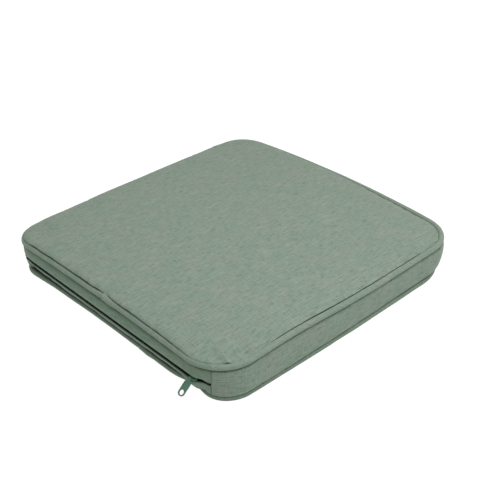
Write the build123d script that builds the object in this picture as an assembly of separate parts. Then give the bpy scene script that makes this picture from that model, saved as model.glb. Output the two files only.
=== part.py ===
from build123d import *
import os

# A zipped, piped seat pad for a chair: a foam core in a wadding wrap, inside a removable
# fabric cover with two piped seams and a zip along its straight back edge.
# Millimetres. Origin on the underside, at the middle of the plan. +Z is up, +Y is the zip edge.

# Plan, measured along the centre-line of the two piping cords
BACK_WIDTH = 432.0
FRONT_WIDTH = 441.0
BACK_Y = 237.5
FRONT_CORNER_Y = -221.0
FRONT_BOW = 16.5
SIDE_BOW = 3.0
BACK_RADIUS = 40.0
FRONT_RADIUS = 55.0

# Heights
PIPING_RADIUS = 4.2
LOWER_SEAM_Z = PIPING_RADIUS
UPPER_SEAM_Z = 50.5
MIDDLE_Z = (LOWER_SEAM_Z + UPPER_SEAM_Z) / 2
CROWN_Z = 62.0

# Cloth, cord and seams; "out" is a distance outwards from the piping's centre-line
CLOTH = 0.9
GAP = 0.1
CORD_RADIUS = 3.2
SEAM_OUT = -4.3
ALLOWANCE_OUT = -12.0
BAND_OUT = 0.0
THREAD = 0.4
CROWN_ROUND = 10.0
UNDERSIDE_ROUND = 3.0
BAND_TOP_Z = UPPER_SEAM_Z - PIPING_RADIUS - GAP
BAND_LOW_Z = 2 * MIDDLE_Z - BAND_TOP_Z
PANEL_EDGE_Z = UPPER_SEAM_Z + CLOTH / 2 + GAP

# Zip: a nylon coil chain that runs along the back edge between two upright seams
END_SEAM_X = 194.0
ZIP_Z = 25.5
TAPE_OUT = -5.0
TAPE = 0.6
UPPER_TAPE_HALF = 14.0
LOWER_TAPE_HALF = 12.0
CHAIN_SLOT = 0.7
COIL_HALF = 2.9
COIL_DEPTH = 2.1
COIL_IN = TAPE_OUT + GAP / 2
LIP_IN = -1.35
LIP_HALF = 2.6
HEM_HALF = 6.1
HEM_THICK = 0.7
HEM_REACH = 12.0
UPPER_STITCH = 10.0
LOWER_STITCH = 9.0

# Slider
SLIDER_X = -171.0
SLIDER_LENGTH = 11.0
SLIDER_FRONT_HALF = 4.8
SLIDER_REAR_HALF = 4.2
BLADE = 0.95
BLADE_CORNER = 1.4
CHANNEL_HALF = 3.15
CHAIN_CLEARANCE = 0.25
FLANGE_CLEARANCE = 0.3
DIVIDER_LENGTH = 2.6
DIVIDER_HALF = 0.35
DIVIDER_INSET = 0.4
CROWN_BAR_OUT = 1.9
CROWN_BAR_RADIUS = 0.9
CROWN_LENGTH = 10.0
CROWN_LEG = 1.2

# Pull tab, which hangs from the slider's crown bar
TAB_X = SLIDER_X + 1.6
TAB_REACH = 25.0
TAB_WIDTH = 10.0
TAB_THICK = 1.6
TAB_HOLE_RADIUS = 3.4
TAB_NECK_WIDTH = 3.6
TAB_NECK_LENGTH = 2.6
TAB_SHOULDER = 6.5
TAB_FIELD = 7.0
TAB_RECESS = 0.35
TAB_RIM = 1.3
EYE_RADIUS = 2.0
EYE_CLEARANCE = 0.1
TAB_LEAN = 48.0

# Filling
WADDING = 6.5
FILL_CLEARANCE = 0.5
WRAP_END_Y = -150.0
ZIP_SPACE_OUT = -8.5

# Shapes that only cut or trim reach this far past what they cut
BEYOND = 20.0
BACK_STRETCH_DEPTH = 90.0


def bowed(start, end, rise):
    """Plan edge that bulges by rise to the left of its direction."""
    along = Vector(*end) - Vector(*start)
    left = Vector(-along.Y, along.X).normalized()
    middle = (Vector(*start) + Vector(*end)) / 2 + left * rise
    return ThreePointArc(start, middle, end)


def centre_plan():
    """Plan inside the piping's centre-line, with rounded corners."""
    back = [(-BACK_WIDTH / 2, BACK_Y), (BACK_WIDTH / 2, BACK_Y)]
    front = [(FRONT_WIDTH / 2, FRONT_CORNER_Y), (-FRONT_WIDTH / 2, FRONT_CORNER_Y)]
    edges = [
        Line(back[0], back[1]),
        bowed(back[1], front[0], SIDE_BOW),
        bowed(front[0], front[1], FRONT_BOW),
        bowed(front[1], back[0], SIDE_BOW),
    ]
    corners = make_face(edges)
    rounded = fillet(corners.vertices().sort_by(Axis.Y)[:2], FRONT_RADIUS)
    return fillet(rounded.vertices().sort_by(Axis.Y)[-2:], BACK_RADIUS)


CENTRE_PLAN = centre_plan()


def moved_out(edge, position, out):
    """Point of an outline edge, moved square to the edge and away from the middle of the plan."""
    point = edge.position_at(position)
    along = edge.tangent_at(position)
    square = Vector(along.Y, -along.X)
    return point + square * (out if square.dot(point) > 0 else -out)


def plan(out):
    """Plan face whose outline lies outside the piping's centre-line by out."""
    edges = []
    for edge in CENTRE_PLAN.edges():
        start, middle, end = (moved_out(edge, position, out) for position in (0, 0.5, 1))
        straight = edge.geom_type == GeomType.LINE
        edges.append(Line(start, end) if straight else ThreePointArc(start, middle, end))
    return make_face(edges)


def block(out, low, high):
    """Solid with the pad's plan, moved outwards by out, between two heights."""
    return Pos(0, 0, low) * extrude(plan(out), high - low)


def ring(inner, outer, low, high):
    """Upright wall that follows the pad's outline."""
    return Pos(0, 0, low) * extrude(plan(outer) - plan(inner), high - low)


def span(x, y, z):
    """Box between the low and high values of each axis."""
    size = [high - low for low, high in (x, y, z)]
    centre = [(high + low) / 2 for low, high in (x, y, z)]
    return Pos(*centre) * Box(*size)


def upside_down(solid):
    """The same piece at the other seam."""
    return mirror(solid, about=Plane.XY.offset(MIDDLE_Z))


def back_stretch():
    """Space between the two upright seams at the ends of the zip."""
    depth = (BACK_Y - BACK_STRETCH_DEPTH, BACK_Y + BEYOND)
    return span((-END_SEAM_X, END_SEAM_X), depth, (-BEYOND, CROWN_Z + BEYOND))


def cover_panel(edge_z, height, rounding):
    """Panel that rises from its seam allowance and turns over to a flat face."""
    outer = block(SEAM_OUT, edge_z, edge_z + height)
    outer = fillet(outer.faces().sort_by(Axis.Z)[-1].edges(), rounding)
    inner = block(SEAM_OUT - CLOTH, edge_z - CLOTH, edge_z + height - CLOTH)
    inner = fillet(inner.faces().sort_by(Axis.Z)[-1].edges(), rounding - CLOTH)
    return outer - inner + ring(ALLOWANCE_OUT, SEAM_OUT, edge_z, edge_z + CLOTH)


def top_panel():
    return cover_panel(PANEL_EDGE_Z, CROWN_Z - PANEL_EDGE_Z, CROWN_ROUND)


def bottom_panel():
    return upside_down(cover_panel(PANEL_EDGE_Z, 2 * MIDDLE_Z - PANEL_EDGE_Z, UNDERSIDE_ROUND))


def along_seam(profile):
    """Solid with a constant section that follows the upper piped seam."""
    path = (Pos(0, 0, UPPER_SEAM_Z) * plan(0)).face().outer_wire()
    return sweep(Plane(path @ 0, z_dir=path % 0) * profile, path=path)


def piping_sleeve():
    """Fabric rolled round the cord, with the flange that is sewn into the upper seam."""
    bore_radius = CORD_RADIUS + GAP
    tube = along_seam(Circle(PIPING_RADIUS) - Circle(bore_radius))
    flange_out = -(PIPING_RADIUS + bore_radius) / 2
    return tube + ring(ALLOWANCE_OUT, flange_out, UPPER_SEAM_Z - CLOTH / 2, UPPER_SEAM_Z + CLOTH / 2)


def piping_cord():
    return along_seam(Circle(CORD_RADIUS))


def band_edge():
    """Upper edge of the side band: it tucks under the piping and into the seam."""
    allowance = UPPER_SEAM_Z - CLOTH / 2 - GAP
    ledge = ring(SEAM_OUT - CLOTH, BAND_OUT, BAND_TOP_Z - CLOTH, BAND_TOP_Z)
    riser = ring(SEAM_OUT - CLOTH, SEAM_OUT, BAND_TOP_Z - CLOTH, allowance)
    return ledge + riser + ring(ALLOWANCE_OUT, SEAM_OUT, allowance - CLOTH, allowance)


def side_band():
    """Boxing strip round both sides and the front, from one end of the zip to the other."""
    edge = band_edge()
    wall = ring(BAND_OUT - CLOTH, BAND_OUT, BAND_LOW_Z, BAND_TOP_Z)
    return wall + edge + upside_down(edge) - back_stretch()


def hemmed_strip(sign, low, high):
    """Wall of a zip strip with its doubled lip and the hem that is sewn to the tape."""
    def between(inner, outer, near, far):
        heights = sorted((ZIP_Z + sign * near, ZIP_Z + sign * far))
        return ring(inner, outer, *heights)

    wall = ring(BAND_OUT - CLOTH, BAND_OUT, low, high)
    lip = between(LIP_IN, BAND_OUT, LIP_HALF, HEM_HALF)
    fold = between(COIL_IN, BAND_OUT, HEM_HALF - HEM_THICK, HEM_HALF)
    hem = between(COIL_IN, COIL_IN + HEM_THICK, HEM_HALF - HEM_THICK, HEM_REACH)
    return wall + lip + fold + hem


def zip_band_upper():
    strip = hemmed_strip(1, ZIP_Z + LIP_HALF, BAND_TOP_Z)
    return (strip + band_edge()) & back_stretch()


def zip_band_lower():
    strip = hemmed_strip(-1, BAND_LOW_Z, ZIP_Z - LIP_HALF)
    return (strip + upside_down(band_edge())) & back_stretch()


def chain_row(sign, inner, outer, far):
    """Half of the zip chain, above or below the slot that the slider's divider runs in."""
    heights = sorted((ZIP_Z + sign * CHAIN_SLOT, ZIP_Z + sign * far))
    return ring(inner, outer, *heights) & back_stretch()


def zip_tape(sign, width):
    return chain_row(sign, TAPE_OUT - TAPE, TAPE_OUT, width)


def zip_coil(sign):
    return chain_row(sign, COIL_IN, COIL_IN + COIL_DEPTH, COIL_HALF)


def seam_thread():
    """Line of sewing thread that closes the upper piped seam, inside the cover."""
    low = UPPER_SEAM_Z + CLOTH * 1.5 + GAP
    return ring(SEAM_OUT - CLOTH - 2 * THREAD, SEAM_OUT - CLOTH - THREAD, low, low + THREAD)


def hem_thread(sign, distance):
    """Line of sewing thread that holds a hem to the zip tape, on the tape's inner face."""
    heights = sorted((ZIP_Z + sign * distance, ZIP_Z + sign * (distance + THREAD)))
    return ring(TAPE_OUT - TAPE - THREAD, TAPE_OUT - TAPE, *heights) & back_stretch()


def blade(inner, outer):
    """Shield-shaped plate of the slider, wider at the end where the two rows enter."""
    front, rear = SLIDER_X - SLIDER_LENGTH / 2, SLIDER_X + SLIDER_LENGTH / 2
    corners = [
        (front, SLIDER_FRONT_HALF), (rear, SLIDER_REAR_HALF),
        (rear, -SLIDER_REAR_HALF), (front, -SLIDER_FRONT_HALF),
    ]
    outline = make_face(Polyline(*corners, close=True))
    outline = fillet(outline.vertices(), BLADE_CORNER)
    face = Plane(origin=(0, BACK_Y + inner, ZIP_Z), x_dir=(1, 0, 0), z_dir=(0, 1, 0)) * outline
    return extrude(face, outer - inner, dir=(0, 1, 0))


def zip_slider():
    """Two blades joined by a divider, side flanges round the rows, and a crown for the tab."""
    flange_in = TAPE_OUT + FLANGE_CLEARANCE
    chain_out = COIL_IN + COIL_DEPTH + CHAIN_CLEARANCE
    chain_in = TAPE_OUT - TAPE - CHAIN_CLEARANCE
    blade_out = chain_out + BLADE
    length = (SLIDER_X - SLIDER_LENGTH, SLIDER_X + SLIDER_LENGTH)
    channel_z = (ZIP_Z - CHANNEL_HALF, ZIP_Z + CHANNEL_HALF)
    channel = span(length, (BACK_Y - BEYOND, BACK_Y + chain_out), channel_z)
    outer_blade = blade(flange_in, blade_out) - channel
    inner_blade = blade(chain_in - BLADE, chain_in)
    divider_x = SLIDER_X - SLIDER_LENGTH / 2 + DIVIDER_INSET
    divider = span(
        (divider_x, divider_x + DIVIDER_LENGTH),
        (BACK_Y + chain_in - BLADE / 2, BACK_Y + chain_out + BLADE / 2),
        (ZIP_Z - DIVIDER_HALF, ZIP_Z + DIVIDER_HALF),
    )
    return outer_blade + inner_blade + divider + slider_crown(blade_out)


def slider_crown(foot_out):
    """Two legs and the bar between them that carries the pull tab."""
    bar_y = BACK_Y + CROWN_BAR_OUT
    bar = Pos(SLIDER_X, bar_y, ZIP_Z) * Rot(0, 90, 0) * Cylinder(CROWN_BAR_RADIUS, CROWN_LENGTH)
    crown = bar
    for side in (-1, 1):
        outside = CROWN_LENGTH / 2
        leg_x = sorted((SLIDER_X + side * outside, SLIDER_X + side * (outside - CROWN_LEG)))
        leg_z = (ZIP_Z - CROWN_BAR_RADIUS, ZIP_Z + CROWN_BAR_RADIUS)
        crown += span(leg_x, (BACK_Y + foot_out - BLADE / 2, bar_y), leg_z)
    return crown


def zip_pull_tab():
    """Cast tab with an eye round the crown bar, a recessed face and a round hole by its tip."""
    half, neck = TAB_WIDTH / 2, TAB_NECK_WIDTH / 2
    hole_z = half - TAB_REACH
    left = [(-neck, 0), (-neck, -TAB_NECK_LENGTH), (-half, -TAB_SHOULDER), (-half, hole_z)]
    right = [(-x, z) for x, z in reversed(left)]
    outline = make_face(Polyline(*left, *right, close=True)) + Pos(0, hole_z) * Circle(half)
    rim = Pos(0, hole_z) * Circle(TAB_HOLE_RADIUS + TAB_RIM)
    field = Rectangle(TAB_WIDTH - 2 * TAB_RIM, -hole_z - TAB_FIELD)
    field = Pos(0, (hole_z - TAB_FIELD) / 2) * field - rim
    hang = Plane(origin=(0, 0, 0), x_dir=(1, 0, 0), z_dir=(0, -1, 0))
    tab = extrude(hang * outline, TAB_THICK / 2, both=True)
    tab += Rot(0, 90, 0) * Cylinder(EYE_RADIUS, TAB_NECK_WIDTH)
    tab -= Rot(0, 90, 0) * Cylinder(CROWN_BAR_RADIUS + EYE_CLEARANCE, TAB_NECK_WIDTH + BEYOND)
    tab -= extrude(hang * Pos(0, hole_z) * Circle(TAB_HOLE_RADIUS), TAB_THICK, both=True)
    for side in (-1, 1):
        depth = TAB_THICK / 2 - TAB_RECESS / 2
        tab -= Pos(0, side * depth, 0) * extrude(hang * field, TAB_RECESS / 2, both=True)
    return Pos(TAB_X, BACK_Y + CROWN_BAR_OUT, ZIP_Z) * Rot(TAB_LEAN, 0, 0) * tab


def filling():
    """Everything inside the cover: it fills the band and passes inside the seam allowances."""
    between_seams_low = LOWER_SEAM_Z + PIPING_RADIUS + 2 * CLOTH
    between_seams_high = 2 * MIDDLE_Z - between_seams_low
    tall = block(ALLOWANCE_OUT - FILL_CLEARANCE, CLOTH + GAP, CROWN_Z - CLOTH - FILL_CLEARANCE)
    wide = block(BAND_OUT - CLOTH - FILL_CLEARANCE, between_seams_low, between_seams_high)
    zip_space = back_stretch() - block(ZIP_SPACE_OUT, 0, CROWN_Z)
    return tall + wide - zip_space


def core_space(clearance):
    """Space for the foam. The wadding covers it above, below and round the front corners."""
    low = CLOTH + WADDING - clearance
    high = CROWN_Z - CLOTH - WADDING + clearance
    middle = block(ALLOWANCE_OUT - FILL_CLEARANCE - WADDING + clearance, low, high)
    behind = (WRAP_END_Y - clearance, BACK_Y + BEYOND)
    return middle + span((-BACK_WIDTH, BACK_WIDTH), behind, (low, high))


def foam_core():
    return filling() & core_space(0)


def fibre_wrap():
    return filling() - core_space(GAP)


NODES = {
    "foam_core": foam_core(),
    "fibre_wrap": fibre_wrap(),
    "top_panel": top_panel(),
    "bottom_panel": bottom_panel(),
    "side_band": side_band(),
    "zip_band_upper": zip_band_upper(),
    "zip_band_lower": zip_band_lower(),
    "piping_top_sleeve": piping_sleeve(),
    "piping_top_cord": piping_cord(),
    "piping_bottom_sleeve": upside_down(piping_sleeve()),
    "piping_bottom_cord": upside_down(piping_cord()),
    "zip_tape_upper": zip_tape(1, UPPER_TAPE_HALF),
    "zip_tape_lower": zip_tape(-1, LOWER_TAPE_HALF),
    "zip_coil_upper": zip_coil(1),
    "zip_coil_lower": zip_coil(-1),
    "seam_thread_top": seam_thread(),
    "seam_thread_bottom": upside_down(seam_thread()),
    "hem_thread_upper": hem_thread(1, UPPER_STITCH),
    "hem_thread_lower": hem_thread(-1, LOWER_STITCH),
    "zip_slider": zip_slider(),
    "zip_pull_tab": zip_pull_tab(),
}

os.makedirs("parts", exist_ok=True)
for name, solid in NODES.items():
    export_step(solid, f"parts/{name}.step")
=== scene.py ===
import math

import bpy
import numpy as np
from mathutils import Matrix, Vector, geometry, noise


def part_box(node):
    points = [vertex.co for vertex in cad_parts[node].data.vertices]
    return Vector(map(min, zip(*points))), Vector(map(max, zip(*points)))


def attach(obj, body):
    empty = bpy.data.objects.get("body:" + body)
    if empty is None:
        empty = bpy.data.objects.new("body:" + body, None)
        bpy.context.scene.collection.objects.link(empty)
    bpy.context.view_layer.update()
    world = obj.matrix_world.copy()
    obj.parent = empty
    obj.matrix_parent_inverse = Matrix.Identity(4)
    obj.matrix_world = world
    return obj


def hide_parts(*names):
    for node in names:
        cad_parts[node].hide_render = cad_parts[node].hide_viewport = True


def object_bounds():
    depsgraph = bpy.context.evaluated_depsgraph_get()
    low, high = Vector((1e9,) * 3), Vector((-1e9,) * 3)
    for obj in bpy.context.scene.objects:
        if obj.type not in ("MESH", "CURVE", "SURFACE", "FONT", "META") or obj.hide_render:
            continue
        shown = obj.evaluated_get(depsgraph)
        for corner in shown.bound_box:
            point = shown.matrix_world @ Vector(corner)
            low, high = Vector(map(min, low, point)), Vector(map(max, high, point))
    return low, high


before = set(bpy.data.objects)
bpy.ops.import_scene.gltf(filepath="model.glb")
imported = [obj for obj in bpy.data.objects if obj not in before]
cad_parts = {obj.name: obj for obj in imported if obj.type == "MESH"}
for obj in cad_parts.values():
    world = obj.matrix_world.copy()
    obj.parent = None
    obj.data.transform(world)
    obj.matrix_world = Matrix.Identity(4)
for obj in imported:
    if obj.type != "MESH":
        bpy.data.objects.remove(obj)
CAD_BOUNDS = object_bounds()

# The shapes below are worked out in millimetres in the frame's axes, and turned into metres as
# each mesh is made. +Y is the zip edge and -Y the bowed front edge.
MM = 0.001


def node_box(node):
    """Lowest and highest corner of a CAD node, in millimetres."""
    low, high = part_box(node)
    return np.array(low) / MM, np.array(high) / MM


# ---- Driving sizes, from the frame ----

PIPING_LOW, PIPING_HIGH = node_box("piping_top_sleeve")
BOTTOM_PIPING_LOW, BOTTOM_PIPING_HIGH = node_box("piping_bottom_sleeve")
CORD_LOW, CORD_HIGH = node_box("piping_top_cord")
PIPING_RADIUS = (PIPING_HIGH[2] - PIPING_LOW[2]) / 2
CORD_RADIUS = ((CORD_HIGH[2] - CORD_LOW[2]) / 2 - 0.1) * 0.86
TOP_Z = (PIPING_HIGH[2] + PIPING_LOW[2]) / 2
LOW_Z = (BOTTOM_PIPING_HIGH[2] + BOTTOM_PIPING_LOW[2]) / 2
HALF_WIDTH = PIPING_HIGH[0] - PIPING_RADIUS
BACK_Y = PIPING_HIGH[1] - PIPING_RADIUS
FRONT_Y = PIPING_LOW[1] + PIPING_RADIUS
END_SEAM_X = node_box("zip_band_upper")[1][0]
COIL_HIGH = node_box("zip_coil_upper")[1]
TAPE_HIGH = node_box("zip_tape_upper")[1]
ZIP_Z = (node_box("zip_coil_lower")[0][2] + COIL_HIGH[2]) / 2
TAPE_OUT = TAPE_HIGH[1] - BACK_Y
COIL_OUT = COIL_HIGH[1] - BACK_Y

# ---- How the sewn cover differs from a drawn one ----

CLOTH = 0.9
BACK_NARROWER = 6.2
FRONT_NARROWER = 1.6
BACK_FURTHER = 1.4
ZIP_EDGE_SAG = -4.5
FRONT_BOW = 16.3
SIDE_BOWS = (3.8, 1.9)
CORNER_RADII = (37.0, 54.0, 49.0, 42.0)
CORNER_FULLNESS = 0.39

# The lower seam is a little smaller and lies askew, and beside the slider it is tucked under.
LOW_INSET = 1.0
LOW_SHIFT = (-1.8, -2.8)
LOW_ZIP_EDGE_SAG = -6.2
LOW_CORNER_RADII = (37.0, 46.0, 72.0, 56.0)
TUCKED_X = -165.0
TUCKED_HALF = 46.0
TUCKED_IN = 9.0

# The filling lifts the upper seam on the -X side, most at the first Y and gone by the second away.
LIFTED_BY = 3.0
LIFTED_X = (-110.0, -190.0)
LIFTED_Y = (110.0, 130.0)
DRAWN_IN = 0.5

# The straight stretch of the zip blends into the round wall this far from the upright seams.
BLEND_FAR = 22.0
BLEND_NEAR = 2.0


def smooth(low, high, value):
    """Smooth step from 0 at low to 1 at high."""
    t = np.clip((value - low) / (high - low), 0, 1)
    return t * t * (3 - 2 * t)


def hump(centre, width, value):
    """Soft bump of height 1 at centre that is gone at width to either side."""
    return np.exp(-((value - centre) / width) ** 2 * 3)


def wander(points, scale, seed):
    """Smooth noise from -1 to 1 with features of about scale millimetres."""
    shift = Vector((seed * 17.3, seed * 5.1, seed * 9.7))
    return np.array([noise.noise(Vector(p) / scale + shift) for p in points])


# ---- Plan outlines of the two piped seams ----

class Outline:
    """Closed plan outline through the middle of a piping. It runs from the middle of the zip
    edge past the corners B (-X +Y), C (-X -Y), D (+X -Y) and A (+X +Y), and a share from 0 to 1
    says how far round a point is."""

    def __init__(self, corners, bows, radii):
        corners = [np.array(c, float) for c in corners]
        pieces = []
        for i, start in enumerate(corners):
            end, after = corners[(i + 1) % 4], corners[(i + 2) % 4]
            length, next_length = np.linalg.norm(end - start), np.linalg.norm(after - end)
            first, last = radii[i] / length, 1 - radii[(i + 1) % 4] / length
            edge, slopes = self.bowed(start, end, bows[i], np.linspace(first, last, 200))
            joined, next_slopes = self.bowed(
                end, after, bows[(i + 1) % 4], np.array([radii[(i + 1) % 4] / next_length]))
            pieces += [edge, self.corner(edge[-1], slopes[-1], joined[0], next_slopes[0])]
        points = np.concatenate(pieces)
        start = np.argmin(np.abs(points[:, 0]) + 1000 * (points[:, 1] < 0))
        points = np.roll(points, -start, axis=0)
        self.points = np.vstack([points, points[:1]])
        steps = np.linalg.norm(np.diff(self.points, axis=0), axis=1)
        self.length = steps.sum()
        self.shares = np.concatenate([[0], np.cumsum(steps)]) / self.length

    @staticmethod
    def bowed(start, end, bow, along):
        """Points and slopes of an edge that bulges outwards by bow."""
        run = end - start
        out = np.array([run[1], -run[0]]) / np.linalg.norm(run)
        along = along[:, None]
        points = start + run * along + out * 4 * bow * along * (1 - along)
        slopes = run + out * 4 * bow * (1 - 2 * along)
        return points, slopes / np.linalg.norm(slopes, axis=1)[:, None]

    @staticmethod
    def corner(start, start_slope, end, end_slope):
        """Round corner between the ends of two edges."""
        reach = CORNER_FULLNESS * np.linalg.norm(end - start)
        t = np.linspace(0, 1, 60)[1:-1, None]
        leave, arrive = start + start_slope * reach, end - end_slope * reach
        return ((1 - t) ** 3 * start + 3 * (1 - t) ** 2 * t * leave
                + 3 * (1 - t) * t ** 2 * arrive + t ** 3 * end)

    def at(self, shares):
        """Points and outward normals."""
        def place(s):
            s = np.mod(s, 1)
            return np.stack([np.interp(s, self.shares, self.points[:, i]) for i in (0, 1)], axis=1)
        step = 1.5 / self.length
        along = place(shares + step) - place(shares - step)
        along /= np.linalg.norm(along, axis=1)[:, None]
        return place(shares), np.stack([along[:, 1], -along[:, 0]], axis=1)

    def share_of_back(self, x):
        """Share, from -0.5 to 0.5, of the place near the zip edge that has this x."""
        shares = np.linspace(-0.25, 0.25, 4001)
        points = self.at(shares)[0]
        near = points[:, 1] > BACK_Y - 45
        return shares[near][np.argmin(np.abs(points[near, 0] - x))]


def seam_outline(inset, shift, zip_sag, radii, tucked=0.0):
    """Outline of a piped seam. tucked pulls it inwards on the zip edge beside the slider."""
    back = HALF_WIDTH - BACK_NARROWER - inset
    front = HALF_WIDTH - FRONT_NARROWER - inset
    back_y = BACK_Y + BACK_FURTHER - inset
    front_y = FRONT_Y + FRONT_BOW + inset
    corners = [(back, back_y), (-back, back_y), (-front, front_y), (front, front_y)]
    corners = [(x + shift[0], y + shift[1]) for x, y in corners]
    outline = Outline(corners, (zip_sag, SIDE_BOWS[0], FRONT_BOW, SIDE_BOWS[1]), radii)
    points = outline.points
    near = smooth(BACK_Y - 60, BACK_Y - 20, points[:, 1])
    points[:, 1] -= tucked * near * hump(TUCKED_X, TUCKED_HALF, points[:, 0])
    return outline


TOP = seam_outline(0, (0, 0), ZIP_EDGE_SAG, CORNER_RADII)
LOW = seam_outline(LOW_INSET, LOW_SHIFT, LOW_ZIP_EDGE_SAG, LOW_CORNER_RADII, TUCKED_IN)

JOIN_X = 9.0
SHARE_JOIN = TOP.share_of_back(JOIN_X)
SHARE_B = TOP.share_of_back(-END_SEAM_X)
SHARE_A = TOP.share_of_back(END_SEAM_X)


def corner_share(x_sign, y_sign):
    """Share of the middle of a rounded corner."""
    reach = TOP.points[:, 0] * x_sign + TOP.points[:, 1] * y_sign
    return TOP.shares[np.argmax(reach)]


CORNER_B = corner_share(-1, 1)
CORNER_C = corner_share(-1, -1)
CORNER_D = corner_share(1, -1)


def on_wall(shares, out, z, straighten=0.0):
    """Points of the pad's wall: between the two outlines by height, moved outwards by out. With
    straighten 1 the stretch along the zip follows the straight line that the slider runs on."""
    share_up = ((z - LOW_Z) / (TOP_Z - LOW_Z))[:, None]
    (top, top_out), (low, low_out) = TOP.at(shares), LOW.at(shares)
    base = low + (top - low) * share_up
    normal = low_out + (top_out - low_out) * share_up
    normal /= np.linalg.norm(normal, axis=1)[:, None]
    near_zip = 1 - smooth(END_SEAM_X - BLEND_FAR, END_SEAM_X - BLEND_NEAR, np.abs(base[:, 0]))
    near_zip = near_zip * (base[:, 1] > 0) * straighten
    base = base.copy()
    base[:, 1] += (BACK_Y - base[:, 1]) * near_zip
    return np.column_stack([base + normal * np.broadcast_to(out, len(z))[:, None], z])


# ---- Meshes ----

def stuffed(points):
    """Points of any soft piece, raised and drawn in where the filling lifts the upper seam."""
    points = np.array(points, float)
    x, y, z = points.T
    share_up = smooth(LOW_Z, TOP_Z, z)
    lift = LIFTED_BY * smooth(*LIFTED_X, x) * hump(*LIFTED_Y, y)
    points[:, 2] += lift * share_up
    points[:, 0] += DRAWN_IN * lift * share_up
    return points


def mesh_object(name, points, faces, uvs=None):
    """Object from points in millimetres. uvs are given for each point, in metres."""
    points = stuffed(points)
    mesh = bpy.data.meshes.new(name)
    mesh.from_pydata((np.asarray(points) * MM).tolist(), [], [list(map(int, f)) for f in faces])
    mesh.polygons.foreach_set("use_smooth", [True] * len(mesh.polygons))
    if uvs is not None:
        layer = mesh.uv_layers.new(name="cloth")
        corners = np.empty(len(mesh.loops), np.int32)
        mesh.loops.foreach_get("vertex_index", corners)
        layer.data.foreach_set("uv", (np.asarray(uvs)[corners]).astype(np.float32).ravel())
    mesh.update()
    piece = bpy.data.objects.new(name, mesh)
    bpy.context.scene.collection.objects.link(piece)
    return piece


def grid_faces(rows, columns, closed=False):
    """Quads between rows of points, each row with the same number of columns."""
    around = columns if closed else columns - 1
    first = np.arange(rows - 1)[:, None] * columns + np.arange(around)[None, :]
    following = np.arange(rows - 1)[:, None] * columns + (np.arange(around)[None, :] + 1) % columns
    return np.stack([first, following, following + columns, first + columns], axis=-1).reshape(-1, 4)


def grid_object(name, rows):
    """Sheet through rows of points. Its uvs are lengths along the first row and down the rows."""
    rows = np.array(rows)
    along = np.linalg.norm(np.diff(rows.mean(axis=0), axis=0), axis=1)
    along = np.concatenate([[0], np.cumsum(along)])
    down = np.linalg.norm(np.diff(rows, axis=0), axis=2).mean(axis=1)
    down = np.concatenate([[0], np.cumsum(down)])
    u, v = np.meshgrid(along, down)
    uvs = np.stack([u.ravel(), v.ravel()], axis=1) * MM
    faces = grid_faces(rows.shape[0], rows.shape[1])
    return mesh_object(name, rows.reshape(-1, 3), faces, uvs)


def tube_rows(path, across, upright, radius, sides):
    """Rings of points round a path. across and upright span each ring's plane."""
    rows = []
    for angle in np.linspace(0, 2 * math.pi, sides, endpoint=False):
        rows.append(path + (across * math.cos(angle) + upright * math.sin(angle)) * radius)
    return np.array(rows)


def closed_tube(name, path, across, radius, sides):
    """Tube round a closed level path."""
    upright = np.tile([0.0, 0.0, 1.0], (len(path), 1))
    radius = np.broadcast_to(radius, len(path))[:, None]
    rows = tube_rows(path, across, upright, radius, sides)[::-1]
    return grid_ring(name, rows.transpose(1, 0, 2))


def grid_ring(name, ring):
    """Mesh from closed sections along a closed path; sections are rows of points."""
    count, sides = ring.shape[:2]
    index = np.arange(count * sides).reshape(count, sides)
    ahead = np.roll(index, -1, axis=0)
    faces = np.stack([index, np.roll(index, -1, axis=1), np.roll(ahead, -1, axis=1), ahead], axis=-1)
    along = np.linalg.norm(np.roll(ring, -1, axis=0) - ring, axis=2).mean(axis=1)
    along = np.concatenate([[0], np.cumsum(along)[:-1]])
    girth = np.linalg.norm(ring[0, 0] - ring[0].mean(axis=0)) * 2 * math.pi
    u, v = np.meshgrid(along, np.arange(sides) / sides * girth, indexing="ij")
    uvs = np.stack([u.ravel(), v.ravel()], axis=1) * MM
    return mesh_object(name, ring.reshape(-1, 3), faces.reshape(-1, 4), uvs)


def open_tube(name, path, radius, sides=5):
    """Round thread or wire along an open path, with closed ends."""
    path = np.asarray(path, float)
    along = np.gradient(path, axis=0)
    along /= np.linalg.norm(along, axis=1)[:, None]
    reference = np.array([0.0, 0.0, 1.0])
    across = np.cross(along, reference)
    across /= np.maximum(np.linalg.norm(across, axis=1), 1e-6)[:, None]
    upright = np.cross(across, along)
    rows = tube_rows(path, across, upright, radius, sides).transpose(1, 0, 2)
    count = len(path)
    index = np.arange(count * sides).reshape(count, sides)
    near, far = index[:-1], index[1:]
    quads = np.stack([near, np.roll(near, -1, axis=1), np.roll(far, -1, axis=1), far], axis=-1)
    faces = quads.reshape(-1, 4).tolist() + [index[0][::-1].tolist(), index[-1].tolist()]
    return mesh_object(name, rows.reshape(-1, 3), faces)


def solidify(piece, thickness, offset=-1.0):
    """Gives a sheet its cloth thickness, on the inner side of its shown face."""
    modifier = piece.modifiers.new("thickness", "SOLIDIFY")
    modifier.thickness = thickness * MM
    modifier.offset = offset
    modifier.use_even_offset = False


def face_outwards(piece):
    """Turns the sheet's faces so that its normals point away from the middle of the pad."""
    mesh = piece.data
    middle = Vector((0, 0, (TOP_Z + LOW_Z) / 2 * MM))
    outward = sum((p.center - middle).dot(p.normal) * p.area for p in mesh.polygons)
    if outward < 0:
        mesh.flip_normals()


def coordinates(piece):
    """Points of a piece's mesh, in metres."""
    co = np.empty(len(piece.data.vertices) * 3, np.float32)
    piece.data.vertices.foreach_get("co", co)
    return co.reshape(-1, 3)


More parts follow.
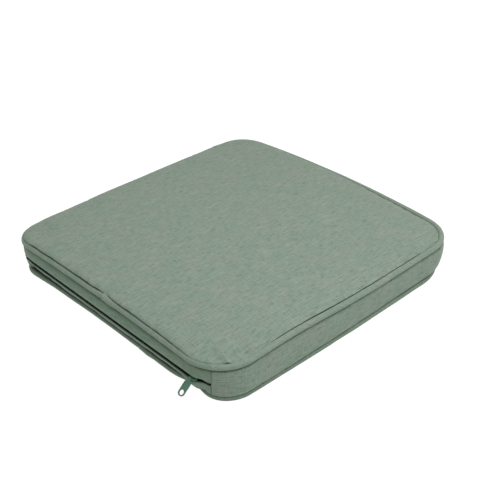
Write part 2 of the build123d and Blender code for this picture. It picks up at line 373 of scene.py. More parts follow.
def puff(piece, pinned, pressure, cap, slack, frames=20):
    """Lets a sewn-down sheet swell as cloth. pinned says which points the seam holds, slack how
    much too long the cloth is, and cap is the furthest that a point may move."""
    group = piece.vertex_groups.new(name="sewn")
    group.add([int(i) for i in np.flatnonzero(pinned)], 1.0, "REPLACE")
    rest = coordinates(piece)
    modifier = piece.modifiers.new("cloth", "CLOTH")
    settings = modifier.settings
    settings.quality = 6
    settings.mass = 0.25
    settings.tension_stiffness = 30
    settings.compression_stiffness = 30
    settings.shear_stiffness = 12
    settings.bending_stiffness = 0.4
    settings.vertex_group_mass = group.name
    settings.use_pressure = True
    settings.uniform_pressure_force = pressure
    settings.shrink_min = -slack
    settings.effector_weights.gravity = 0
    modifier.point_cache.frame_start = 1
    modifier.point_cache.frame_end = frames
    scene = bpy.context.scene
    for step in range(1, frames + 1):
        scene.frame_set(step)
    graph = bpy.context.evaluated_depsgraph_get()
    moved = np.empty(len(rest) * 3, np.float32)
    piece.evaluated_get(graph).data.vertices.foreach_get("co", moved)
    change = moved.reshape(-1, 3) - rest
    far = np.linalg.norm(change, axis=1)[:, None]
    change *= cap * MM / (cap * MM + far)
    piece.modifiers.remove(modifier)
    piece.vertex_groups.remove(group)
    piece.data.vertices.foreach_set("co", (rest + change).ravel())
    piece.data.update()
    scene.frame_set(1)


# ---- Materials ----

def new_material(name, roughness, sheen=0.0):
    """Material with a dull surface, and its shader."""
    material = bpy.data.materials.new(name)
    material.use_nodes = True
    shader = material.node_tree.nodes["Principled BSDF"]
    shader.inputs["Roughness"].default_value = roughness
    shader.inputs["Sheen Weight"].default_value = sheen
    shader.inputs["Specular IOR Level"].default_value = 0.2
    return material, shader


class Nodes:
    """Short names for the few node kinds that the materials use."""

    def __init__(self, material):
        self.tree = material.node_tree

    def add(self, kind, inputs=(), **settings):
        node = self.tree.nodes.new(kind)
        for key, value in settings.items():
            setattr(node, key, value)
        for key, value in dict(inputs).items():
            if isinstance(value, bpy.types.NodeSocket):
                self.tree.links.new(value, node.inputs[key])
            else:
                node.inputs[key].default_value = value
        return node

    def math(self, operation, a, b=0.0):
        return self.add("ShaderNodeMath", {0: a, 1: b}, operation=operation).outputs[0]

    def stretched(self, source, scale, turn=0.0):
        inputs = {"Vector": source, "Scale": scale, "Rotation": (0, 0, turn)}
        return self.add("ShaderNodeMapping", inputs).outputs[0]

    def noise(self, vector, scale, detail, roughness):
        inputs = {"Vector": vector, "Scale": scale, "Detail": detail, "Roughness": roughness}
        return self.add("ShaderNodeTexNoise", inputs).outputs["Fac"]

    def ramp(self, factor, low, high, start=0.0, end=1.0):
        inputs = {"Value": factor, "From Min": low, "From Max": high, "To Min": start, "To Max": end}
        return self.add("ShaderNodeMapRange", inputs, interpolation_type="SMOOTHSTEP").outputs[0]

    def mix(self, factor, first, second, blend="MIX"):
        node = self.add("ShaderNodeMix", data_type="RGBA", blend_type=blend)
        for socket, value in zip((node.inputs[0], node.inputs[6], node.inputs[7]),
                                 (factor, first, second)):
            if isinstance(value, bpy.types.NodeSocket):
                self.tree.links.new(value, socket)
            else:
                socket.default_value = value
        return node.outputs[2]

    def bump(self, height, strength, distance, normal=None):
        inputs = {"Height": height, "Strength": strength, "Distance": distance}
        if normal is not None:
            inputs["Normal"] = normal
        return self.add("ShaderNodeBump", inputs).outputs[0]


# Linear colours of the cover's yarns, and the painted shade colour of its crevices.
GREEN = (0.136, 0.202, 0.150, 1)
GREY = (0.172, 0.206, 0.166, 1)
DARK_YARN = (0.050, 0.090, 0.062, 1)
PALE_YARN = (0.255, 0.300, 0.245, 1)
YARN_PITCH = 0.62
PAINTED_CREVICE_SHADE = (0.16, 0.24, 0.18, 1)
PAINTED_CREVICE_SHADE_REACH = 0.007


def cloth_material(name, turn=0.0, streak=1.0, shade=(1, 1, 1, 1), reach=PAINTED_CREVICE_SHADE_REACH):
    """Heathered plain weave: soft grey and green patches, uneven yarns both ways, and a weave
    that shows close up. turn sets the yarns at an angle to the sheet's own lengths. shade is a
    painted shade tint over the whole cloth, and painted shade from ambient occlusion darkens it in
    crevices narrower than about reach, in metres."""
    material, shader = new_material(name, 0.88, sheen=0.12)
    shader.inputs["Sheen Roughness"].default_value = 0.6
    n = Nodes(material)
    place = n.add("ShaderNodeTexCoord").outputs["Object"]
    flat = n.add("ShaderNodeUVMap", uv_map="cloth").outputs[0]
    flat = n.stretched(flat, (1, 1, 1), turn)

    patches = n.noise(place, 30, 3, 0.6)
    mottle = n.noise(place, 330, 3, 0.65)
    blend = n.math("ADD", n.math("MULTIPLY", patches, 0.45), n.math("MULTIPLY", mottle, 0.55))
    colour = n.mix(n.ramp(blend, 0.38, 0.62), GREEN, GREY)

    warp = n.noise(n.stretched(flat, (620, 75, 1)), 1.0, 3, 0.7)
    weft = n.noise(n.stretched(flat, (80, 660, 1)), 1.0, 3, 0.7)
    slub = n.noise(n.stretched(flat, (460, 34, 1)), 1.0, 3, 0.7)
    dark = n.ramp(warp, 0.58, 0.22, 0, 0.80 * streak)
    colour = n.mix(dark, colour, DARK_YARN)
    pale = n.ramp(weft, 0.42, 0.78, 0, 0.62 * streak)
    colour = n.mix(pale, colour, PALE_YARN)
    pale = n.ramp(slub, 0.45, 0.80, 0, 0.60 * streak)
    colour = n.mix(pale, colour, PALE_YARN)
    # Painted shade: ambient occlusion darkens the colour towards the crevice colour in narrow gaps, and the
    # shade tint darkens it in the open.
    inputs = {"Distance": reach}
    open_sky = n.add("ShaderNodeAmbientOcclusion", inputs, samples=8).outputs["AO"]
    painted_shade_colour = n.mix(n.ramp(open_sky, 0.10, 0.80), PAINTED_CREVICE_SHADE, shade)
    colour = n.mix(1.0, colour, painted_shade_colour, "MULTIPLY")
    n.tree.links.new(colour, shader.inputs["Base Color"])

    separate = n.add("ShaderNodeSeparateXYZ", {"Vector": flat})
    turns = 2 * math.pi / (2 * YARN_PITCH * MM)
    across = n.math("SINE", n.math("MULTIPLY", separate.outputs[0], turns))
    down = n.math("SINE", n.math("MULTIPLY", separate.outputs[1], turns))
    weave = n.math("MULTIPLY", across, down)
    weave = n.math("ADD", n.math("MULTIPLY", weave, 0.5), n.math("MULTIPLY", warp, 0.9))
    weave = n.math("ADD", weave, n.math("MULTIPLY", weft, 0.9))
    fine = n.bump(weave, 0.55, 0.00022)
    rumple = n.bump(n.noise(place, 75, 3, 0.55), 0.35, 0.0012, fine)
    n.tree.links.new(rumple, shader.inputs["Normal"])
    n.tree.links.new(n.ramp(mottle, 0.3, 0.7, 0.80, 0.95), shader.inputs["Roughness"])
    return material


def plain_material(name, dark, light, roughness, scale, bump, sheen=0.0):
    """Two shades of one colour in fine uneven grain."""
    material, shader = new_material(name, roughness, sheen)
    n = Nodes(material)
    place = n.add("ShaderNodeTexCoord").outputs["Object"]
    grain = n.noise(place, scale, 4, 0.6)
    n.tree.links.new(n.mix(n.ramp(grain, 0.3, 0.7), dark, light), shader.inputs["Base Color"])
    n.tree.links.new(n.bump(grain, 0.5, bump), shader.inputs["Normal"])
    spread = n.ramp(grain, 0.3, 0.7, roughness * 0.85, min(1.0, roughness * 1.12))
    n.tree.links.new(spread, shader.inputs["Roughness"])
    return material


def painted_metal():
    """Green lacquer over cast zinc, rubbed through to grey along the edges."""
    material, shader = new_material("painted_metal", 0.42)
    n = Nodes(material)
    place = n.add("ShaderNodeTexCoord").outputs["Object"]
    edge = n.add("ShaderNodeBevel", {"Radius": 0.0007}, samples=6).outputs[0]
    surface = n.add("ShaderNodeNewGeometry").outputs["Normal"]
    facing = n.add("ShaderNodeVectorMath", {0: edge, 1: surface}, operation="DOT_PRODUCT")
    rubbed = n.ramp(facing.outputs["Value"], 0.985, 0.80)
    cloud = n.noise(place, 900, 3, 0.6)
    rubbed = n.math("MULTIPLY", rubbed, n.ramp(cloud, 0.25, 0.6, 0.35, 1.0))
    paint = n.mix(cloud, (0.062, 0.150, 0.098, 1), (0.090, 0.190, 0.130, 1))
    n.tree.links.new(n.mix(rubbed, paint, (0.11, 0.135, 0.125, 1)), shader.inputs["Base Color"])
    n.tree.links.new(n.math("MULTIPLY", rubbed, 0.7), shader.inputs["Metallic"])
    n.tree.links.new(n.ramp(cloud, 0.2, 0.8, 0.34, 0.52), shader.inputs["Roughness"])
    n.tree.links.new(n.bump(cloud, 0.25, 0.00008), shader.inputs["Normal"])
    return material


PANEL_CLOTH = cloth_material("cover_cloth")
# The band, strip and lower piping cloths are darker copies of the cover cloth: their shade tints and longer
# crevice reach are painted shade.
BAND_CLOTH = cloth_material("band_cloth", turn=math.radians(90), shade=(0.93, 0.95, 0.93, 1))
STRIP_CLOTH = cloth_material("strip_cloth", turn=math.radians(90), shade=(0.78, 0.90, 0.80, 1),
                             reach=0.016)
BIAS_CLOTH = cloth_material("bias_cloth", turn=math.radians(45), streak=0.7)
LOW_BIAS_CLOTH = cloth_material("low_bias_cloth", turn=math.radians(45), streak=0.7,
                                shade=(0.84, 0.90, 0.85, 1), reach=0.020)
FOAM = plain_material("foam_cells", (0.62, 0.56, 0.40, 1), (0.80, 0.75, 0.60, 1), 0.95, 900, 0.0006)
WADDING = plain_material("wadding_fibre", (0.70, 0.70, 0.69, 1), (0.86, 0.86, 0.85, 1), 0.95, 260,
                         0.0010, sheen=0.4)
CORD_FIBRE = plain_material("cord_fibre", (0.60, 0.58, 0.52, 1), (0.78, 0.76, 0.70, 1), 0.9, 1200, 0.0002)
TAPE_CLOTH = plain_material("zip_tape_cloth", (0.018, 0.036, 0.026, 1), (0.036, 0.062, 0.046, 1), 0.85,
                            1500, 0.0002)
COIL_NYLON = plain_material("zip_coil_nylon", (0.014, 0.030, 0.021, 1), (0.028, 0.050, 0.037, 1), 0.35,
                            1400, 0.00003)
THREAD = plain_material("thread_polyester", (0.105, 0.160, 0.118, 1), (0.180, 0.235, 0.180, 1), 0.6,
                        3000, 0.00005, sheen=0.2)
LACQUER = painted_metal()


def finish_piece(piece, material, node, body="pad"):
    """Gives a piece its material, hides the CAD node that it stands for, and hangs it on the body that it
    rides on.
    """
    piece.data.materials.append(material)
    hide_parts(node)
    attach(piece, body)
    return piece


# ---- Top and bottom panels ----

# Section of the top panel inwards from its seam: how far in, and how far above the seam. A tight
# edge rolls up against the piping, a slack one slopes away from it, and a sunk one starts lower
# than the piping's crest.
TIGHT_EDGE = [(3.9, 0.8), (4.05, 1.9), (3.6, 3.0), (2.4, 3.95), (0.9, 4.5), (-0.3, 4.95), (-0.9, 5.8),
              (-0.3, 6.9), (1.6, 8.0), (5.0, 8.8), (10.0, 9.3), (16.0, 9.6), (23.0, 9.8)]
SLACK_EDGE = [(3.9, 1.0), (3.9, 1.9), (3.4, 2.8), (2.7, 3.5), (2.5, 3.95), (3.4, 4.25), (5.0, 4.6),
              (7.4, 5.1), (10.0, 5.8), (13.0, 6.6), (16.0, 7.4), (19.5, 8.1), (24.0, 8.9)]
SUNK_EDGE = [(3.9, 0.9), (4.1, 1.2), (4.3, 1.5), (4.5, 1.8), (4.8, 2.1), (5.5, 2.6), (6.8, 3.3),
             (9.0, 4.4), (11.4, 5.3), (14.0, 6.2), (17.0, 7.1), (20.0, 7.9), (24.0, 8.8)]
# Height of the panel above its seam by the distance from it, further in than the edge rows.
FIELD = [(23.5, 9.7), (35.0, 10.3), (60.0, 10.9), (100.0, 11.4), (160.0, 11.8), (240.0, 12.0)]
EDGE_STEP = 2.6
FIELD_STEP = 3.6


# How tightly the top panel rolls over its piping, by share of the way round: 1 hides the most.
TIGHTNESS = [(0, 1), (CORNER_B - 0.015, 1), (CORNER_B + 0.035, 0.08), (CORNER_C + 0.02, 0.0),
             (CORNER_C + 0.08, 0.15), (CORNER_D - 0.06, 0.35), (CORNER_D + 0.01, 1), (1, 1)]
JOIN_EASE = 0.32
JOIN_HALF = 24.0
# Where the sunk edge comes in and goes out along the seam, from the middle of corner C.
SUNK_IN = (-80.0, -10.0)
SUNK_OUT = (90.0, 330.0)


def tightness(shares):
    """How tightly the panel rolls over its piping. It eases where the piping's ends meet."""
    tight = np.interp(np.mod(shares, 1), *zip(*TIGHTNESS))
    from_join = (np.mod(shares - SHARE_JOIN + 0.5, 1) - 0.5) * TOP.length
    return tight - JOIN_EASE * hump(0, JOIN_HALF, from_join)


def edge_rows(shares, tight):
    """Rows of the panel's edge from the seam inwards, as distance in and height."""
    from_c = (shares - CORNER_C) * TOP.length
    sunk = (1 - tight) * smooth(*SUNK_IN, from_c) * (1 - smooth(*SUNK_OUT, from_c))
    rows = []
    for held, slack, low in zip(TIGHT_EDGE, SLACK_EDGE, SUNK_EDGE):
        rows.append([s + (t - s) * tight + (l - s) * sunk for t, s, l in zip(held, slack, low)])
    return rows


def hex_points(step):
    """Even points over the plan's square."""
    points = []
    rows = np.arange(-HALF_WIDTH - step, HALF_WIDTH + 3 * step, step * math.sqrt(3) / 2)
    for i, y in enumerate(rows):
        x = np.arange(-HALF_WIDTH, HALF_WIDTH, step) + (step / 2 if i % 2 else 0)
        points.append(np.column_stack([x, np.full(len(x), y)]))
    return np.concatenate(points)


def fill_field(border, step):
    """Even triangles inside a closed border of plan points. Returns all points and the faces;
    the border's own points come first."""
    angles = np.arctan2(border[:, 1], border[:, 0])
    order = np.argsort(angles)
    reach = np.linalg.norm(border, axis=1)[order]
    points = hex_points(step)
    around = np.arctan2(points[:, 1], points[:, 0])
    limit = np.interp(around, angles[order], reach, period=2 * math.pi)
    points = points[np.linalg.norm(points, axis=1) < limit - 0.7 * step]
    everything = np.vstack([border, points])
    count = len(border)
    edges = [(i, (i + 1) % count) for i in range(count)]
    found = geometry.delaunay_2d_cdt([Vector(p) for p in everything], edges, [], 1, 1e-4)
    origin = [sources[0] for sources in found[3]]
    faces = [[origin[i] for i in face] for face in found[2]]
    return everything, faces


def distance_in(points):
    """Distance of plan points from the top outline, and the share of the nearest place on it."""
    shares = np.linspace(0, 1, 600, endpoint=False)
    ring = TOP.at(shares)[0]
    nearest = np.empty(len(points), int)
    distance = np.empty(len(points))
    for i, point in enumerate(points):
        apart = np.hypot(ring[:, 0] - point[0], ring[:, 1] - point[1])
        nearest[i] = np.argmin(apart)
        distance[i] = apart[nearest[i]]
    return distance, shares[nearest]


def panel(name, outline, section, field_height, seam_z, up):
    """Panel from its seam inwards: sewn edge rows first, then an even field. up is 1 for a panel
    that faces up and -1 for one that faces down. Also says which points the seam holds."""
    count = int(outline.length / EDGE_STEP)
    shares = np.arange(count) / count
    ring, out = outline.at(shares)
    rows = []
    for inwards, height in section(shares):
        plan = ring - out * np.broadcast_to(inwards, count)[:, None]
        rows.append(np.column_stack([plan, seam_z + up * np.broadcast_to(height, count)]))
    edge = np.concatenate(rows)
    field, field_faces = fill_field(rows[-1][:, :2], FIELD_STEP)
    inner = field[count:]
    heights = seam_z + up * field_height(inner)
    points = np.vstack([edge, np.column_stack([inner, heights])])
    first = len(edge) - count
    faces = grid_faces(len(rows), count, closed=True).tolist()
    faces += [[first + i for i in face] for face in field_faces]
    piece = mesh_object(name, points, faces, points[:, :2] * MM)
    pinned = np.arange(len(points)) < 2 * count
    return piece, pinned


def top_field(points):
    """Height of the top panel above its seam at plan points."""
    distance, shares = distance_in(points)
    tight = tightness(shares)
    height = np.interp(distance, [d for d, _ in FIELD], [h for _, h in FIELD])
    slack_drop = (1 - smooth(20, 60, distance)) * (1 - tight)
    return height - slack_drop


# Creases that the sewing leaves in the top panel: plan start and end, half width and height.
CREASES = [
    ((-182, 208), (-207, 213), 3.0, 3.6),
    ((-196, 204), (-209, 182), 5.2, -3.6),
    ((-186, 200), (-200, 199), 3.4, -1.4),
    ((-196, 160), (-211, 153), 5.0, -2.2),
    ((7, 231), (14, 212), 2.0, -1.3),
    ((-4, 232), (2, 204), 2.6, 1.2),
    ((-53, 232), (-48, 214), 2.4, -1.3),
    ((-94, 233), (-88, 218), 2.4, -1.3),
    ((-104, 233), (-99, 216), 3.0, 1.0),
    ((40, 232), (46, 212), 3.0, 0.9),
    ((62, 232), (66, 212), 2.6, -1.0),
    ((112, 232), (118, 214), 2.6, -1.0),
]


# Heights above the seam between which the panel comes free of it.
FREE_RISE = (2.2, 4.6)


def crease_height(points):
    """Height that the creases add at plan points."""
    total = np.zeros(len(points))
    for start, end, width, height in CREASES:
        start, end = np.array(start, float), np.array(end, float)
        run = end - start
        along = ((points - start) @ run) / (run @ run)
        nearest = start + np.clip(along, 0, 1)[:, None] * run
        apart = np.linalg.norm(points - nearest, axis=1)
        total += height * np.exp(-(apart / width) ** 2)
    return total


def sculpt_top(piece):
    """Adds the unevenness of the filling and the creases of the sewing, fading at the seam."""
    points = coordinates(piece) / MM
    rise = points[:, 2] - TOP_Z
    free = smooth(*FREE_RISE, rise)
    plan = points * (1, 1, 0)
    change = 0.9 * wander(plan, 95, 1) + 0.35 * wander(plan, 34, 2)
    near_zip = smooth(BACK_Y - 55, BACK_Y - 12, points[:, 1])
    gathers = wander(points * (1, 0.25, 0), 13, 3)
    change += 0.8 * gathers * near_zip + crease_height(points[:, :2])
    points[:, 2] += change * free
    piece.data.vertices.foreach_set("co", (points * MM).astype(np.float32).ravel())
    piece.data.update()


def make_top_panel():
    """Crowned top panel, swelled as cloth and then creased."""
    piece, pinned = panel("top_cloth", TOP, lambda shares: edge_rows(shares, tightness(shares)),
                          top_field, TOP_Z, 1)
    face_outwards(piece)
    puff(piece, pinned, pressure=1.2, cap=1.6, slack=0.012)
    sculpt_top(piece)
    solidify(piece, CLOTH)
    return finish_piece(piece, PANEL_CLOTH, "top_panel")


# Section of the bottom panel inwards from its seam: how far in, and how far below the seam.
BOTTOM_EDGE = [(3.7, 0.9), (3.9, 1.8), (4.5, 2.7), (5.6, 3.3), (7.4, 3.6), (10.0, 3.75), (14.0, 3.8)]
UNDERSIDE_DROP = 3.5
UNDERSIDE_RISE = 0.45


def bottom_field(points):
    """How far the bottom panel hangs below its seam at plan points."""
    uneven = wander(np.column_stack([points, np.zeros(len(points))]), 60, 4)
    return UNDERSIDE_DROP + UNDERSIDE_RISE * uneven


def make_bottom_panel():
    """Bottom panel, which the pad's weight keeps nearly flat."""
    piece, _ = panel("bottom_cloth", LOW, lambda shares: BOTTOM_EDGE, bottom_field, LOW_Z, -1)
    face_outwards(piece)
    solidify(piece, CLOTH)
    return finish_piece(piece, PANEL_CLOTH, "bottom_panel")


# ---- Wall of the pad ----

# Section of the side band from its upper seam down to its lower one: out, and how far below the
# upper seam, when the two are DRAWN_APART. The hung section bulges lower, over the lower piping.
DRAWN_APART = 50.0
SIDE_BAND = [
    (-4.0, 0.8), (-4.1, 2.0), (-3.4, 3.3), (-1.8, 4.5), (-0.1, 5.3), (1.4, 6.4), (2.5, 8.2), (3.2, 11.0),
    (3.7, 15.0), (4.0, 20.0), (4.1, 25.0), (4.1, 30.0), (3.9, 35.0), (3.6, 39.0), (3.0, 42.0), (2.0, 44.0),
    (0.4, 45.0), (-1.8, 45.6), (-3.4, 46.7), (-4.1, 48.0), (-4.0, 49.2),
]
HUNG_BAND = [
    (-4.0, 0.8), (-4.1, 2.0), (-3.4, 3.3), (-1.8, 4.4), (0.2, 5.1), (2.0, 6.1), (3.2, 8.0), (4.0, 11.0),
    (4.6, 15.0), (5.2, 20.0), (5.6, 25.0), (5.9, 30.0), (6.1, 35.0), (6.1, 39.0), (5.7, 42.2), (4.5, 44.4),
    (2.2, 45.3), (-1.2, 45.6), (-3.4, 46.7), (-4.1, 48.0), (-4.0, 49.2),
]
WALL_STEP = 3.0
FULLER_AT_C = 0.95
SEAM_TUCK = 1.1
SEAM_TUCK_REACH = 1.3


def wall_shares(first, last):
    """Shares between two upright seams, closer together beside the seams."""
    length = (last - first) * TOP.length
    near = np.array([0, 0.35, 0.8, 1.4, 2.4])
    middle = np.linspace(4.5, length - 4.5, int(length / WALL_STEP))
    return first + np.concatenate([near, middle, length - near[::-1]]) / TOP.length


def seam_tuck(shares, first, last):
    """How far cloth turns in beside the upright seams at its two ends."""
    apart = np.minimum(shares - first, last - shares) * TOP.length
    return SEAM_TUCK * np.clip(1 - apart / SEAM_TUCK_REACH, 0, 1) ** 2


def band_section(shares):
    """Section of the side band at each share, as out and height. Beside B it hangs furthest over
    the lower piping, and at C it is fullest."""
    lowest = 1 - smooth(CORNER_B, CORNER_C, shares)
    full = 1 + FULLER_AT_C * hump(CORNER_C, 0.05, shares)
    rows = []
    for (out, below), (hung_out, hung_below) in zip(SIDE_BAND, HUNG_BAND):
        out = out + (hung_out - out) * lowest
        below = below + (hung_below - below) * lowest
        rows.append((np.where(out > 0, out * full, out), TOP_Z - below * (TOP_Z - LOW_Z) / DRAWN_APART))
    return rows


def rumpled(points, size, height, seed, still=0.0):
    """Points moved across the wall by soft folds that lean over to one side. Points less than
    still above or below the zip stay where they are."""
    height = height * smooth(still, still + 4, np.abs(points[:, 2] - ZIP_Z) + 1e-3)
    lean = np.column_stack([points[:, 0] + 0.6 * points[:, 2], points[:, 1], 0.45 * points[:, 2]])
    middle = 1 - np.abs(2 * (points[:, 2] - LOW_Z) / (TOP_Z - LOW_Z) - 1)
    outwards = points * (1, 1, 0) / np.linalg.norm(points[:, :2], axis=1)[:, None]
    move = height * wander(lean, size, seed) * smooth(0.1, 0.45, middle)
    return points + outwards * move[:, None]


def make_side_band():
    """Side band round the front and both sides, rumpled and then swelled as cloth."""
    shares = wall_shares(SHARE_B, 1 + SHARE_A)
    tuck = seam_tuck(shares, SHARE_B, 1 + SHARE_A)
    rows = [rumpled(on_wall(shares, out - tuck, z), 42, 0.9, 41) for out, z in band_section(shares)]
    piece = grid_object("band_cloth", rows)
    face_outwards(piece)
    count = len(shares)
    index = np.arange(count * len(rows))
    row, column = index // count, index % count
    pinned = (row < 3) | (row > len(rows) - 4) | (column < 3) | (column > count - 4)
    puff(piece, pinned, pressure=1.0, cap=1.2, slack=0.008)
    solidify(piece, CLOTH)
    return finish_piece(piece, BAND_CLOTH, "side_band")


# ---- Zip strips ----

# Sections of the strips, as out, height above the zip, and straight. straight is 1 where a row
# follows the slider's straight line, and 0 where it follows the bowed seam.
LIP_GAP = 2.4
LIP_GAP_LEFT = 0.4
LIPS_STILL = 6.5
CLOSING = (15.0, 2.0)
CLOSING_HEIGHT = 14.0
HEM_CLOTH = CLOTH * 0.7
BELLY_START_X = -118.0
BELLY_FULL_X = -168.0
UPPER_STRIP = [
    (-4.0, 24.4, 0.0), (-4.1, 23.2, 0.0), (-3.4, 22.0, 0.0), (-1.8, 20.9, 0.05), (0.0, 20.2, 0.1),
    (1.6, 19.2, 0.25), (2.6, 17.2, 0.45), (3.2, 14.0, 0.7), (3.4, 10.6, 0.9), (3.3, 7.4, 1.0),
    (2.7, 5.6, 1.0), (1.8, 4.5, 1.0), (0.8, 4.0, 1.0), (-0.1, 4.1, 1.0), (-0.8, 4.7, 1.0), (-1.3, 5.8, 1.0),
    (-2.8, 6.6, 1.0), (-4.0, 8.0, 1.0), (-4.3, 12.0, 1.0),
]
LOWER_STRIP = [
    (-4.3, -12.0, 1.0), (-4.0, -8.0, 1.0), (-2.8, -6.4, 1.0), (-1.3, -5.0, 1.0), (-1.3, -3.0, 1.0),
    (-0.9, -2.4, 1.0), (-0.1, -2.3, 1.0), (0.7, -2.8, 1.0), (0.8, -3.7, 1.0), (0.1, -4.4, 1.0),
    (-2.0, -4.9, 0.95), (-5.4, -5.4, 0.9), (-9.4, -7.0, 0.8), (-11.0, -10.6, 0.5), (-9.4, -14.0, 0.1),
    (-7.2, -16.6, 0.0), (-5.3, -18.6, 0.0), (-4.0, -20.4, 0.0),
]
# Beside the slider the lower strip bellies out over the tucked seam instead.
BELLIED_STRIP = [
    (-4.3, -12.0, 1.0), (-4.0, -8.0, 1.0), (-2.8, -6.4, 1.0), (-1.3, -5.0, 1.0), (-1.1, -3.2, 1.0),
    (-0.6, -2.5, 1.0), (0.3, -2.4, 1.0), (1.1, -2.9, 1.0), (1.5, -3.9, 1.0), (1.6, -5.4, 1.0),
    (1.3, -7.4, 1.0), (0.6, -9.8, 1.0), (-0.4, -12.2, 1.0), (-1.6, -14.6, 1.0), (-3.0, -16.8, 0.95),
    (-4.6, -18.4, 0.6), (-5.4, -19.4, 0.2), (-4.0, -20.4, 0.0),
]


def make_strip(name, section, node, sign, hem, bellied=None):
    """Zip strip between the two upright seams, hemmed back on itself at the zip. hem holds the
    rows of the section that are folded inside. Towards its ends the strip closes over the zip and
    takes the side band's section, so that the two meet at the upright seams."""
    shares = wall_shares(SHARE_A, SHARE_B)
    tuck = seam_tuck(shares, SHARE_A, SHARE_B)
    x = TOP.at(shares)[0][:, 0]
    closing = smooth(END_SEAM_X - CLOSING[0], END_SEAM_X - CLOSING[1], np.abs(x))
    belly = smooth(BELLY_START_X, BELLY_FULL_X, x)
    beside = band_section(np.where(x < 0, SHARE_B, 1 + SHARE_A))
    band_out, band_z = (np.array([np.broadcast_to(r[i], len(x)) for r in beside]) for i in (0, 1))
    rows = []
    for number, (row, other) in enumerate(zip(section, bellied or section)):
        out, above, straight = (a + (b - a) * belly for a, b in zip(row, other))
        close = closing * np.clip(1 - np.abs(above) / CLOSING_HEIGHT, 0, 1)
        z = ZIP_Z + above - sign * close * (LIP_GAP - LIP_GAP_LEFT)
        if number not in hem:
            end_out = np.array([np.interp(-height, -heights, outs)
                                for height, heights, outs in zip(z, band_z.T, band_out.T)])
            out = out + (end_out - out) * closing
        points = on_wall(shares, out - tuck, z, straight * (1 - closing))
        rows.append(rumpled(points, 15, 1.1 * (1 - closing), 43, LIPS_STILL))
    piece = grid_object(name, rows)
    face_outwards(piece)
    solidify(piece, HEM_CLOTH)
    return finish_piece(piece, STRIP_CLOTH, node)


# ---- Piping ----

PIPING_STEP = 1.6
LAP_THICKER = 0.9
LAP_END = (14.0, 34.0)
JOIN_DIP = 1.2
PRESSED_X = (120.0, 190.0)
LOW_JOIN_X = -60.0
LOW_PIPING_LIFT = 0.3
LOW_PIPING_PRESSED = 0.6
TWIST_LENGTH = 5.5
TWIST_DEPTH = 0.08


def ring_path(outline, z, lift, seed):
    """Closed centre-line of a piping, with the small wander of hand-guided sewing."""
    count = int(outline.length / PIPING_STEP)
    shares = np.arange(count) / count
    ring, out = outline.at(shares)
    sway = 0.35 * wander(np.column_stack([ring, np.full(count, z)]), 45, seed)
    path = np.column_stack([ring + out * sway[:, None], np.full(count, z)])
    path[:, 2] += lift + 0.25 * wander(np.column_stack([ring, np.full(count, z)]), 60, seed + 1)
    return path, np.column_stack([out, np.zeros(count)]), shares


def make_piping(name, outline, z, node, lift, seed, join_x, cloth, pressed=0.0):
    """Sleeve round the cord. At the join one end laps over the other. pressed is how much thinner
    it is along the zip edge."""
    path, out, _ = ring_path(outline, z, lift, seed)
    radius = PIPING_RADIUS + 0.12 * wander(path, 11, seed + 2)
    x = path[:, 0]
    on_back = path[:, 1] > 0
    lap = on_back * smooth(0, 0.8, join_x - x) * (1 - smooth(*LAP_END, join_x - x))
    dip = on_back * hump(join_x + 1.3, 2.4, x)
    thinner = pressed * on_back * (1 - smooth(*PRESSED_X, np.abs(x)))
    radius = radius + LAP_THICKER * lap - (JOIN_DIP - pressed) * dip - thinner
    path[:, 2] += on_back * hump(join_x - 4, 12, x)
    piece = closed_tube(name, path, out, radius, sides=18)
    return finish_piece(piece, cloth, node)


def make_cord(name, outline, z, node, lift, seed):
    """Filler cord inside the sleeve, with its strands' twist."""
    path, out, shares = ring_path(outline, z, lift, seed)
    turns = np.round(outline.length / TWIST_LENGTH)
    radius = CORD_RADIUS + TWIST_DEPTH * np.sin(2 * math.pi * turns * shares)
    piece = closed_tube(name, path, out, radius, sides=10)
    return finish_piece(piece, CORD_FIBRE, node)


# ---- Zip chain ----

COIL_PITCH = 1.4
COIL_SIDES = 10
COIL_CENTRE = 1.75
COIL_HALF_HEIGHT = 0.95
COIL_HALF_DEPTH = 0.72
WIRE_RADIUS = 0.30
TAPE_THICK = 0.6
UPPER_TAPE_WIDTH = 13.5
LOWER_TAPE_WIDTH = 11.5


def zip_line(step, out, above):
    """Open path along the zip, from one upright seam to the other."""
    length = (SHARE_B - SHARE_A) * TOP.length
    shares = np.linspace(SHARE_A, SHARE_B, int(length / step))
    return on_wall(shares, out, np.full(len(shares), ZIP_Z + above), 1.0)


def make_tape(name, sign, node, width):
    """Woven tape that carries one row of the coil."""
    rows = [zip_line(4, TAPE_OUT - 0.3, sign * above) for above in np.linspace(0.8, width, 6)]
    piece = grid_object(name, rows)
    face_outwards(piece)
    solidify(piece, TAPE_THICK, offset=0)
    return finish_piece(piece, TAPE_CLOTH, node)


def make_coil(name, sign, node):
    """Row of the zip's teeth: one nylon wire wound into a flat coil."""
    path = zip_line(COIL_PITCH / COIL_SIDES, (TAPE_OUT + COIL_OUT) / 2, 0)
    turn = np.arange(len(path)) * 2 * math.pi / COIL_SIDES
    path[:, 2] = ZIP_Z + sign * (COIL_CENTRE - COIL_HALF_HEIGHT * np.cos(turn))
    path[:, 1] += COIL_HALF_DEPTH * np.sin(turn)
    piece = open_tube(name, path, WIRE_RADIUS)
    return finish_piece(piece, COIL_NYLON, node)


# ---- Threads ----

THREAD_RADIUS = 0.2
STITCH = 3.0
STITCHES_IN = 5.6


